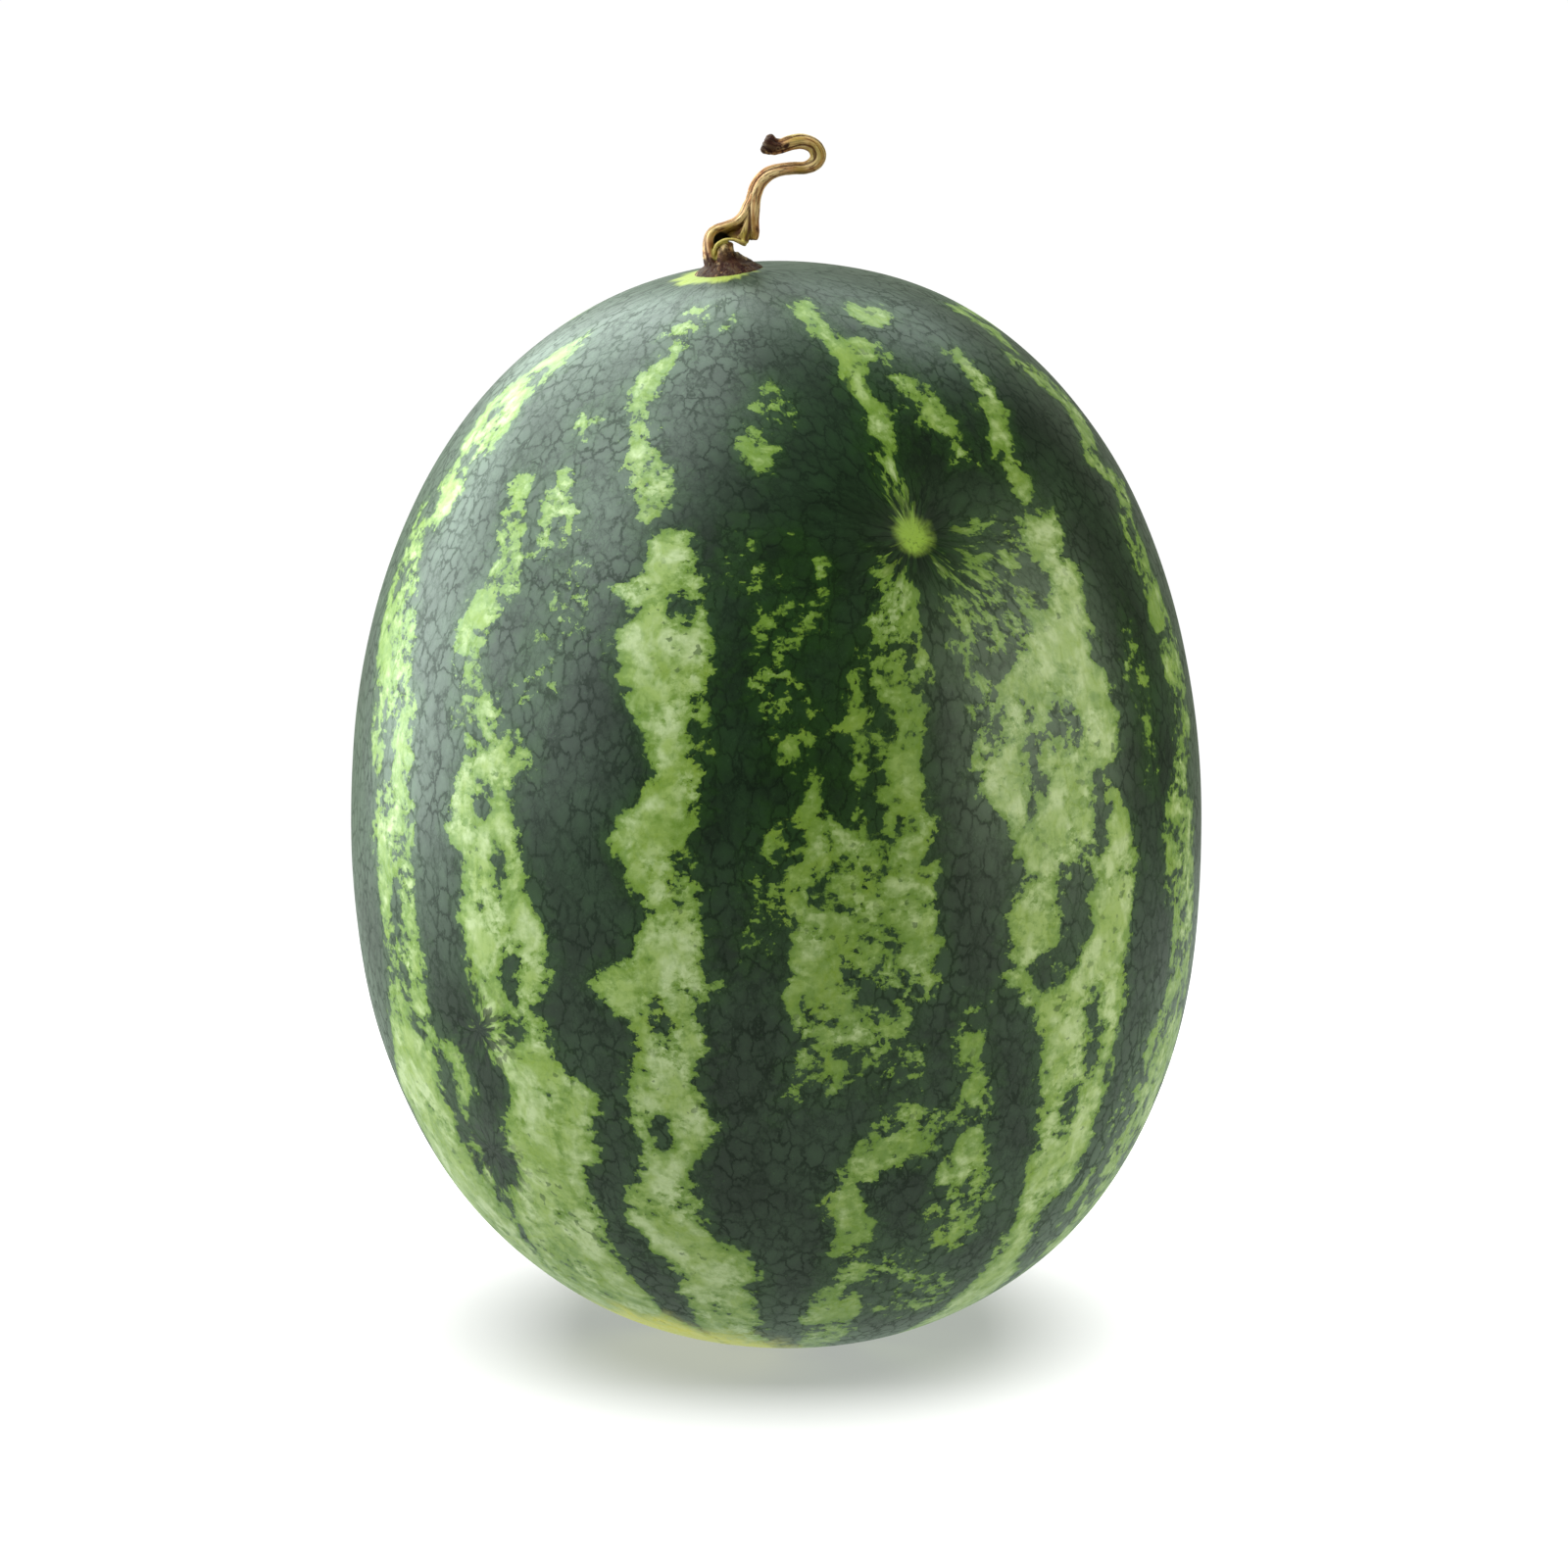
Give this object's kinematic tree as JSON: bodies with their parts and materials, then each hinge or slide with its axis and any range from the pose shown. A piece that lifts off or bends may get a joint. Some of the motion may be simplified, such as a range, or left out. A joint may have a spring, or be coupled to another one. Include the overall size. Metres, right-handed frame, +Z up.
{
  "type": "watermelon",
  "caption": "Whole striped watermelon with a dark and pale green rind and a dried, hooked stem, standing on a small flat spot.",
  "frame": {"origin": "centre of the small flat spot on the blossom end that the fruit stands on", "axes": "+Z up along the fruit's length towards the stem, -Y the side that shows the split in the stem, +X to the right seen from that side"},
  "size_m": [0.25, 0.25, 0.3549],
  "materials": {
    "rind": "satin",
    "dry_stem": "matte"
  },
  "bodies": {
    "root": {"melon": "rind", "stem": "dry_stem"}
  },
  "joints": []
}
